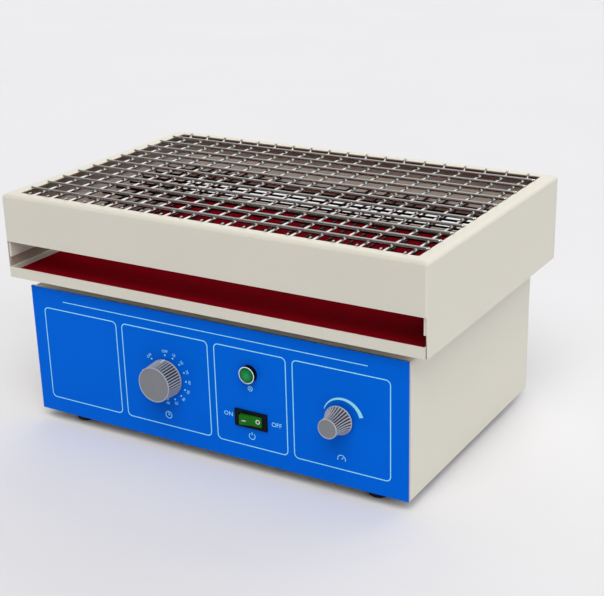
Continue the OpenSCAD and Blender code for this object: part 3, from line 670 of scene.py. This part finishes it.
# panel print: thin ink on the blue film
panelY = -118.5
inkRise = 0.06
inkSink = 0.02
controls = {"timerX": -42.2, "lampX": 42.2, "speedX": 126.0, "knobZ": 68.8, "lampZ": 89.8, "rockerZ": 48.6}
printLook = {"line": 0.8, "corner": 4.5, "cornerSteps": 8, "low": 23.6, "high": 110.0,
             "frames": [(-172.1, -92.3), (-86.8, 1.9), (7.7, 76.7), (82.2, 169.7)],
             "stripe": [(-150, 117.6), (150, 117.6), (150, 118.3), (-150, 118.3)],
             "dotRadius": 0.75, "dotRing": 20.2, "dotSides": 14, "letterRing": 23.6, "letter": 3.6,
             "minuteMarks": 12, "minuteStep": 22.5, "offAngle": 90.0, "onAngle": 135.0,
             "word": 5.6, "onPlace": (19.8, 49.2), "offPlace": (66.4, 48.6)}
speedArc = {"moveX": 0.9, "moveZ": -0.7, "inner": (16.6, 16.0), "outer": (17.2, 19.6),
            "first": 160, "last": 16}
signLook = {"clock": {"z": 34.0, "outer": 3.4, "inner": 2.8, "hands": ((2.2, 90), (1.6, 0)), "wide": 0.55},
            "lamp": {"z": 76.2, "outer": 2.3, "inner": 1.8, "ray": 1.9, "wide": 0.45},
            "power": {"z": 33.4, "outer": 3.1, "inner": 2.5, "arc": (128, 412), "bar": (1.0, 3.6),
                      "wide": 0.6},
            "gauge": {"z": 33.0, "outer": 3.8, "inner": 3.2, "arc": (-20, 200), "needle": 2.8, "wide": 0.6}}


def inkStrip(bm, outer, inner):  # flat ring between two outlines, both as (x, z)
    front, back = panelY - inkRise, panelY + inkSink
    rows = ((outer, back), (outer, front), (inner, front), (inner, back))
    loft(bm, [[(x, y, z) for x, z in line] for line, y in rows])


def inkShape(bm, outline):  # filled outline as (x, z)
    loft(bm, [[(x, y, z) for x, z in outline] for y in (panelY + inkSink, panelY - inkRise)], capLast=True)


def inkFrame(bm, left, right):
    p = printLook
    middleX, middleZ = (left + right) / 2, (p["low"] + p["high"]) / 2
    lines = []
    for inset in (0.0, p["line"]):
        loop = roundedLoop((right - left) / 2 - inset, (p["high"] - p["low"]) / 2 - inset,
                           p["corner"] - inset, p["cornerSteps"])
        lines.append([(middleX + x, middleZ + z) for x, z in loop])
    inkStrip(bm, *lines)


def inkArc(bm, x, z, inner, outer, first, last, steps=40):  # both radii may change along the arc
    rows = []
    for i in range(steps + 1):
        share = i / steps
        angle = radians(first + (last - first) * share)
        reaches = [start + (end - start) * share for start, end in (outer, inner)]
        rows.append([bm.verts.new((x + reach * cos(angle), panelY - inkRise, z + reach * sin(angle)))
                     for reach in reaches])
    for (far, near), (nextFar, nextNear) in zip(rows, rows[1:]):
        bm.faces.new((far, nextFar, nextNear, near))


def inkBar(bm, x, z, start, end, width, angle):
    along = Vector((cos(radians(angle)), sin(radians(angle))))
    across = Vector((-along.y, along.x)) * width / 2
    spots = [along * start - across, along * end - across, along * end + across, along * start + across]
    inkShape(bm, [(x + s.x, z + s.y) for s in spots])


def inkSigns(bm):  # small signs under the controls
    clock, lampSign, power, gauge = [signLook[key] for key in ("clock", "lamp", "power", "gauge")]
    timerX, lampX, speedX = [controls[key] for key in ("timerX", "lampX", "speedX")]
    for x, sign in ((timerX, clock), (lampX, lampSign)):
        inkStrip(bm, circleLine(x, sign["z"], sign["outer"]), circleLine(x, sign["z"], sign["inner"]))
    for length, angle in clock["hands"]:
        inkBar(bm, timerX, clock["z"], 0, length, clock["wide"], angle)
    for angle in (45, 135, 225, 315):
        inkBar(bm, lampX, lampSign["z"], 0, lampSign["ray"], lampSign["wide"], angle)
    for x, sign in ((lampX, power), (speedX, gauge)):
        inkArc(bm, x, sign["z"], (sign["inner"],) * 2, (sign["outer"],) * 2, *sign["arc"])
    inkBar(bm, lampX, power["z"], *power["bar"], power["wide"], 90)
    inkBar(bm, speedX, gauge["z"], 0, gauge["needle"], gauge["wide"], 45)


def letters(text, size, x, z, angle=90.0):  # ink letters with their heads towards angle
    curve = bpy.data.curves.new(text, "FONT")
    curve.body = text
    curve.size = size * mm
    curve.extrude = inkRise / 2 * mm
    curve.align_x = "CENTER"
    curve.align_y = "CENTER"
    curve.resolution_u = 3
    mesh = plainMesh(newObject(text, curve))
    mesh.transform(Matrix.Rotation(radians(angle - 90), 4, "Z"))
    mesh.transform(Matrix.Rotation(radians(90), 4, "X"))
    mesh.transform(Matrix.Translation(Vector((x, panelY - inkRise / 2, z)) * mm))
    return mesh


def dialLetters(text, angle):
    ring = printLook["letterRing"]
    return letters(text, printLook["letter"], controls["timerX"] + ring * cos(radians(angle)),
                   controls["knobZ"] + ring * sin(radians(angle)), angle)


def dotMesh():
    bm = bmesh.new()
    outline = circleLine(0.0, 0.0, printLook["dotRadius"], printLook["dotSides"])
    loft(bm, [[(x, y, z) for x, z in outline] for y in (0.0, -inkRise)], capLast=True)
    faceOut(bm)
    return meshFrom(bm, "dot")


def buildPrint():
    p = printLook
    bm = bmesh.new()
    for left, right in p["frames"]:
        inkFrame(bm, left, right)
    inkArc(bm, controls["speedX"] + speedArc["moveX"], controls["knobZ"] + speedArc["moveZ"],
           *[speedArc[key] for key in ("inner", "outer", "first", "last")])
    inkSigns(bm)
    inkShape(bm, p["stripe"])
    faceOut(bm)
    parts = [meshFrom(bm, "panelLines")]
    for i in range(1, p["minuteMarks"] + 1):
        parts.append(dialLetters(str(10 * i), p["offAngle"] - p["minuteStep"] * i))
    parts += [dialLetters("OFF", p["offAngle"]), dialLetters("ON", p["onAngle"])]
    parts += [letters("ON", p["word"], *p["onPlace"]), letters("OFF", p["word"], *p["offPlace"])]
    centre = Vector((controls["timerX"], panelY, controls["knobZ"])) * mm
    dot = dotMesh()
    for count, first in ((p["minuteMarks"] + 1, p["offAngle"]), (1, p["onAngle"])):
        parts.append(grow(ringTree, "dots", dot, "printInk", Count=count, First=radians(first),
                          Step=-radians(p["minuteStep"]), Radius=p["dotRing"] * mm, Centre=centre))
    return joinMeshes("panelPrint", parts)


addPiece("panelPrint", buildPrint(), "printInk", "base", "blue_panel")
print("panel print")


# knobs: grey core, darker between the ribs as painted shade, with lighter ribs and rims as painted highlight;
# the ribs run round the grip from the skirt's rim to the face's rim
timerKnob = {"x": controls["timerX"], "start": 1.2, "base": 15.2, "face": 14.2, "out": 18.0,
             "ribs": 40, "rib": 1.3, "flare": 1.0}
speedKnob = {"x": controls["speedX"], "start": 4.2, "base": 11.2, "face": 7.3, "out": 22.0,
             "ribs": 26, "rib": 1.0, "flare": 2.4}
knobShape = {"sides": 80, "gripSteps": 7, "lip": 0.5, "dish": 0.3, "ribWide": 0.18, "ribSink": 0.4,
             "ribLine": [(0.7, 1.0), (1.0, 0.55)], "skirtRim": 0.9, "faceRim": 0.8, "rimProud": 0.05}
pointer = {"half": 0.45, "sunk": -0.5, "proud": 0.05, "line": [(0.1, 0.15), (1.0, 0.15), (5.5, -0.15)]}


def gripRows(knob):  # (radius, distance out) along the grip, which may flare towards its skirt
    start, end = knob["start"], knob["out"] - knobShape["lip"]
    base, face = knob["base"], knob["face"]
    shares = [i / knobShape["gripSteps"] for i in range(knobShape["gripSteps"] + 1)]
    return [(face + (base - face) * (1 - s) ** knob["flare"], start + (end - start) * s) for s in shares]


def ribMesh(name, knob):  # one rib from the skirt to the front, its foot sunk into the grip
    k = knobShape
    loops = []
    for grip, out in gripRows(knob):
        foot = grip - knob["base"]
        wide = k["ribWide"] * 2 * pi * grip / knob["ribs"]
        half = [(foot - k["ribSink"], wide)]
        half += [(foot + knob["rib"] * up, wide * share) for up, share in k["ribLine"]]
        loops.append([(r, -out, -w) for r, w in half] + [(r, -out, w) for r, w in half[::-1]])
    bm = bmesh.new()
    loft(bm, loops, capFirst=True, capLast=True)
    faceOut(bm)
    return meshFrom(bm, name, 40)


def rimMesh(name, knob, radius, back, front):  # thin raised ring with soft edges
    profile = [(radius - 0.8, back), (radius - 0.1, back), (radius, back + 0.15), (radius, front - 0.25),
               (radius - 0.25, front), (radius - 0.7, front), (radius - 0.8, front - 0.1)]
    bm = bmesh.new()
    turn(bm, profile, knobShape["sides"], knob["x"], controls["knobZ"], True)
    return meshFrom(bm, name, 40)


def buildKnob(name, knob, body, node):
    start, out, base, face, rib = [knob[key] for key in ("start", "out", "base", "face", "rib")]
    k = knobShape
    end, dish, rim = out - k["lip"], out - k["dish"], face + rib - 0.1
    front = [(rim, end), (rim, dish), (face * 0.5, dish), (0.6, dish)]
    bm = bmesh.new()
    turn(bm, [(base - 3.0, start)] + gripRows(knob) + front, k["sides"], knob["x"], controls["knobZ"])
    # the grip between the ribs takes the second finish, a darker grey that is painted shade
    for item in bm.faces:  # the grip between the ribs takes the second finish
        item.material_index = int(abs(item.normal.y) < 0.6 and item.calc_center_median().y > panelY - end)
    core = addPiece(name, meshFrom(bm, name, 30), "knobGrey", body, "grey_knob", node)
    core.data.materials.append(finishes["knobGroove"])
    centre = Vector((knob["x"], panelY, controls["knobZ"])) * mm
    # the ribs and both rims take a lighter grey, a painted highlight
    ribs = grow(ringTree, name + "Ribs", ribMesh(name + "Rib", knob), "knobRim",
                Count=knob["ribs"], First=radians(90 + 180 / knob["ribs"]), Step=2 * pi / knob["ribs"],
                Radius=base * mm, Centre=centre)
    proud = rib + k["rimProud"]
    rims = [rimMesh(name + "Skirt", knob, base + proud, start, start + k["skirtRim"]),
            rimMesh(name + "Edge", knob, face + proud, out - k["faceRim"], out)]
    addPiece(name + "Ribs", joinMeshes(name + "Ribs", [ribs] + rims), "knobRim", body, "grey_knob")


def pointerLine(name, knob, body):  # white line along the top of the skirt
    half, low, high = pointer["half"], pointer["sunk"], pointer["proud"]
    top = controls["knobZ"] + knob["base"] + knob["rib"]
    corners = ((-half, low), (half, low), (half, high), (-half, high))
    loops = []
    for out, rise in pointer["line"]:
        y = panelY - knob["start"] - out
        loops.append([(knob["x"] + dx, y, top + rise + dz) for dx, dz in corners])
    bm = bmesh.new()
    loft(bm, loops, capFirst=True, capLast=True)
    faceOut(bm)
    addPiece(name, meshFrom(bm, name), "whiteInk", body, "grey_knob")


buildKnob("timerKnob", timerKnob, "timer_dial", "timer_knob")
buildKnob("speedKnob", speedKnob, "speed_dial", "speed_knob")
pointerLine("timerPointer", timerKnob, "timer_dial")
print("knobs")


# pilot lamp: polished ring, its front pale cyan as a painted reflection and its side black as painted shade,
# and a shallow dome with cut facets
lamp = {"x": controls["lampX"], "z": controls["lampZ"], "ring": 7.5, "sides": 64, "out": 5.3, "lens": 6.4,
        "facets": 16, "cut": 0.05, "dome": [(1.0, -2.5), (1.0, -0.2), (0.96, 0.25), (0.8, 0.75), (0.55, 1.15),
                                            (0.28, 1.36), (0.06, 1.42)]}


def buildLampRing():
    r, out, hole = lamp["ring"], lamp["out"], lamp["lens"]
    profile = [(hole + 0.05, out - 4.0), (hole + 0.05, out - 0.5), (hole + 0.35, out - 0.1), (r - 0.5, out),
               (r - 0.12, out - 0.3), (r, out - 0.8), (r, 0.4), (r - 0.3, 0.0), (hole, 0.0)]
    bm = bmesh.new()
    turn(bm, profile, lamp["sides"], lamp["x"], lamp["z"])
    # the ring's side takes black, a painted shade
    for face in bm.faces:  # the ring's side is dark
        face.material_index = int(abs(face.normal.y) < 0.3)
    return meshFrom(bm, "lampRing", 30)


def buildLens():
    facetSteps = 4
    loops = []
    for share, rise in lamp["dome"]:
        loop = []
        for i, angle in enumerate(roundAngles(lamp["facets"] * facetSteps)):
            cut = lamp["cut"] if i % facetSteps == 0 and 0.2 < share < 0.97 else 0.0
            reach = lamp["lens"] * share * (1 - cut)
            loop.append((lamp["x"] + reach * cos(angle), panelY - lamp["out"] - rise,
                         lamp["z"] + reach * sin(angle)))
        loops.append(loop)
    bm = bmesh.new()
    loft(bm, loops, capFirst=True, capLast=True)
    faceOut(bm)
    return meshFrom(bm, "lampLens", 25)


lampRing = addPiece("lampRing", buildLampRing(), "chromeRing", "base", "chrome_ring", "lamp_bezel")
lampRing.data.materials.append(finishes["switchBlack"])
addPiece("lampLens", buildLens(), "lensGreen", "base", "green_lens", "lamp_lens")
addSoft("switch_frame", "switchFrame", 0.5, 3, "switchBlack", "base", "black_plastic")
addSoft("switch_rocker", "switchRocker", 0.35, 3, "rockerGreen", "power_rocker", "green_rocker")


# signs on the rocker: a bar on its left half, a ring on its right half
rocker = {"x": controls["lampX"], "pivotY": panelY + 3.2, "z": controls["rockerZ"], "reach": 10.1,
          "crest": 6.8, "dip": 1.2, "lean": -8.0}
rockerSign = {"bar": [(-7.8, -1.0), (-4.4, -1.0), (-4.4, -0.35), (-7.8, -0.35)],
              "ring": (6.6, 0.2), "outer": 2.0, "inner": 1.3, "back": -0.1, "front": 0.08}


def rockerPoint(across, up, rise):  # place on the rocker's front, rise measured out of it
    r = rocker
    local = Vector((across, -r["crest"] + r["dip"] * (1 - abs(across) / r["reach"]) - rise, 0.0))
    local.rotate(Matrix.Rotation(radians(-r["lean"]), 3, "Z"))
    return Vector((r["x"], r["pivotY"], r["z"] + up)) + local


def buildRockerSigns():
    s = rockerSign
    back, front = s["back"], s["front"]
    outer, inner = [circleLine(*s["ring"], s[key]) for key in ("outer", "inner")]
    rows = ((outer, back), (outer, front), (inner, front), (inner, back))
    bm = bmesh.new()
    loft(bm, [[rockerPoint(u, v, rise) for u, v in s["bar"]] for rise in (back, front)], capLast=True)
    loft(bm, [[rockerPoint(u, v, rise) for u, v in line] for line, rise in rows])
    faceOut(bm)
    return meshFrom(bm, "rockerSigns")


addPiece("rockerSigns", buildRockerSigns(), "whiteInk", "power_rocker", "green_rocker")
print("lamp and switch")


# rubber feet: turned pads with a recess for the screw
feet = {"places": [(-150, -99.5), (150, -99.5), (-150, 105), (150, 105)], "wide": 10.0, "narrow": 9.0,
        "high": 10.0, "hole": 2.2, "recess": 4.5, "seat": 5.0, "sides": 40}


def footMesh():
    wide, narrow, high, hole, recess, seat = [feet[key] for key in (
        "wide", "narrow", "high", "hole", "recess", "seat")]
    profile = [(hole, seat), (recess, seat), (recess, 0.5), (recess + 0.5, 0.0), (narrow - 0.9, 0.0),
               (narrow - 0.2, 0.35), (narrow + 0.1, 1.0), (wide - 0.1, high - 1.0), (wide - 0.3, high - 0.1),
               (wide - 0.8, high), (hole, high)]
    bm = bmesh.new()
    loft(bm, [levelLoop(r, z, feet["sides"]) for r, z in profile + profile[:1]])
    seal(bm)
    return meshFrom(bm, "foot", 40)


footSpots = [(x * mm, y * mm, 0.0) for x, y in feet["places"]]
addPiece("rubberFeet", grow(placeTree, "rubberFeet", footMesh(), "blackRubber", footSpots), "blackRubber",
         "base", "black_rubber", "rubber_feet")
addSoft("power_inlet", "powerInlet", 0.5, 2, "blackPlastic", "base", "black_plastic")
addSoft("fuse_holder", "fuseHolder", 0.4, 2, "blackPlastic", "base", "black_plastic")
fuseSlot = {"wide": 1.8, "deep": 1.5}
fuseCap = slotted(softCopy("fuse_cap", "fuseCap", 0.5, 2), **fuseSlot)
addPiece("fuseCap", fuseCap, "blackPlastic", "fuse_plug", "black_plastic", "fuse_cap")
print("feet and rear fittings")


# the other CAD nodes keep their shape and take a finish
nodeFinish = {
    "creamPaint": ["base_plate", "housing_shell", "rear_panel", "grid_frame"],
    "blueFilm": ["panel_overlay"],
    "panelSteel": ["deck_plate", "deck_posts", "rod_supports", "carriage_plate", "bearing_housing",
                   "motor_body"],
    "brightSteel": ["foot_screws", "base_screws", "deck_screws", "motor_screws", "guide_rods",
                    "crank_bearings", "control_nut", "lamp_nut", "timer_shaft", "speed_shaft", "motor_shaft",
                    "crank_shaft", "link_bearings", "wrist_pin", "linear_bushes", "block_screws",
                    "tray_columns", "tray_bolts"],
    "aluminium": ["front_panel", "motor_pulley", "crank_pulley", "crank_disc", "connecting_rod",
                  "bearing_blocks"],
    "blackRubber": ["drive_belt"],
    "blackPlastic": ["speed_control"],
    "timerCase": ["timer_body"],
    "boardGreen": ["control_board"],
    "whiteNylon": ["board_standoffs"],
    "blueSleeve": ["filter_capacitor"],
    "coreIron": ["heat_sink", "transformer_core"],
    "coilTape": ["transformer_coil"],
}
for finish, nodes in nodeFinish.items():
    for node in nodes:
        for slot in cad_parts[node].material_slots:
            slot.material = finishes[finish]
print("finishes on the CAD nodes")


# floor and light: pale floor, bright ceiling, a glow behind, dark room in front, two soft suns
stage = {"floor": tone(229, 229, 232), "stain": tone(224, 224, 228), "stainScale": 3.0, "reach": 12.0,
         "wall": 1.3, "sides": 96, "bright": 0.56, "dark": 0.03, "turn": (0.52, 0.7),
         "glow": 1.5, "glowTurn": (0.55, 0.72)}
suns = {"key": {"strength": 0.7, "from": (0.8, -0.25, 0.55), "spread": 50, "colour": (0.97, 1.0, 1.03)},
        "front": {"strength": 1.65, "from": (0.22, -0.52, 0.82), "spread": 40, "colour": (1.03, 1.0, 0.95)}}


def buildFloor():  # round floor with a low wall at its far edge
    reach, wall = stage["reach"] / mm, stage["wall"] / mm
    rows = ((0.5 * reach, 0.0), (reach, 0.0), (reach, wall))
    bm = bmesh.new()
    loft(bm, [levelLoop(r, z, stage["sides"]) for r, z in rows], capFirst=True)
    floor = newObject("floor", meshFrom(bm, "floor"))
    cover = Finish("floorCover", {"Roughness": 0.9, "Specular IOR Level": 0.1})
    cover.feed("Base Color", cover.mix(cover.noise(stage["stainScale"]), stage["floor"], stage["stain"]))
    floor.data.materials.append(cover.material)


def buildWorld():  # light by direction: a bright ceiling, a glow behind, dark elsewhere
    world = bpy.data.worlds.new("studio")
    world.use_nodes = True
    sky = Graph(world.node_tree)
    toward = sky.node("ShaderNodeTexCoord", out="Generated")
    levels = []
    for axis, span, low, high in (("Z", stage["turn"], stage["dark"], stage["bright"]),
                                  ("Y", stage["glowTurn"], 0.0, stage["glow"])):
        depth = sky.node("ShaderNodeSeparateXYZ", None, {"Vector": toward}, axis)
        levels.append(sky.node("ShaderNodeMapRange", {"interpolation_type": "SMOOTHSTEP"},
                               {"Value": depth, "From Min": span[0], "From Max": span[1],
                                "To Min": low, "To Max": high}))
    sky.join(levels[0] + levels[1], world.node_tree.nodes["Background"].inputs["Color"])
    scene.world = world


def addSun(name, sun):
    light = bpy.data.lights.new(name, "SUN")
    light.energy = sun["strength"]
    light.color = sun["colour"]
    light.angle = radians(sun["spread"])
    holder = newObject(name, light)
    holder.location = Vector(sun["from"]) * 3  # only its direction counts
    holder.rotation_euler = Vector(sun["from"]).to_track_quat("Z", "Y").to_euler()


# camera solved from the photograph's edges
view = {"azimuth": 31.3738, "elevation": 20.8425, "roll": -1.5388, "distance": 1.12388,
        "target": (0.02504, -0.00842, 0.10755), "focal": 1285.55, "middle": (300.80, 305.76),
        "frame": (604, 596), "sensor": 36.0}


def buildCamera():
    a, e, r = [radians(view[key]) for key in ("azimuth", "elevation", "roll")]
    back = Vector((sin(a) * cos(e), -cos(a) * cos(e), sin(e)))
    right = Vector((cos(a), sin(a), 0.0))
    up = back.cross(right)
    imageX = cos(r) * right + sin(r) * up
    imageY = cos(r) * up - sin(r) * right
    lens = bpy.data.cameras.new("camera")
    width, height = view["frame"]
    lens.sensor_width = view["sensor"]
    lens.lens = view["focal"] * view["sensor"] / width
    lens.shift_x = (width / 2 - view["middle"][0]) / width
    lens.shift_y = (view["middle"][1] - height / 2) / width
    lens.clip_start = 0.01
    camera = newObject("camera", lens)
    camera.matrix_world = Matrix((imageX, imageY, back)).transposed().to_4x4()
    camera.location = Vector(view["target"]) + view["distance"] * back
    scene.camera = camera


buildFloor()
buildWorld()
for name, sun in suns.items():
    addSun(name, sun)
buildCamera()
scene.view_settings.view_transform = "Standard"
print("stage, lights and camera")
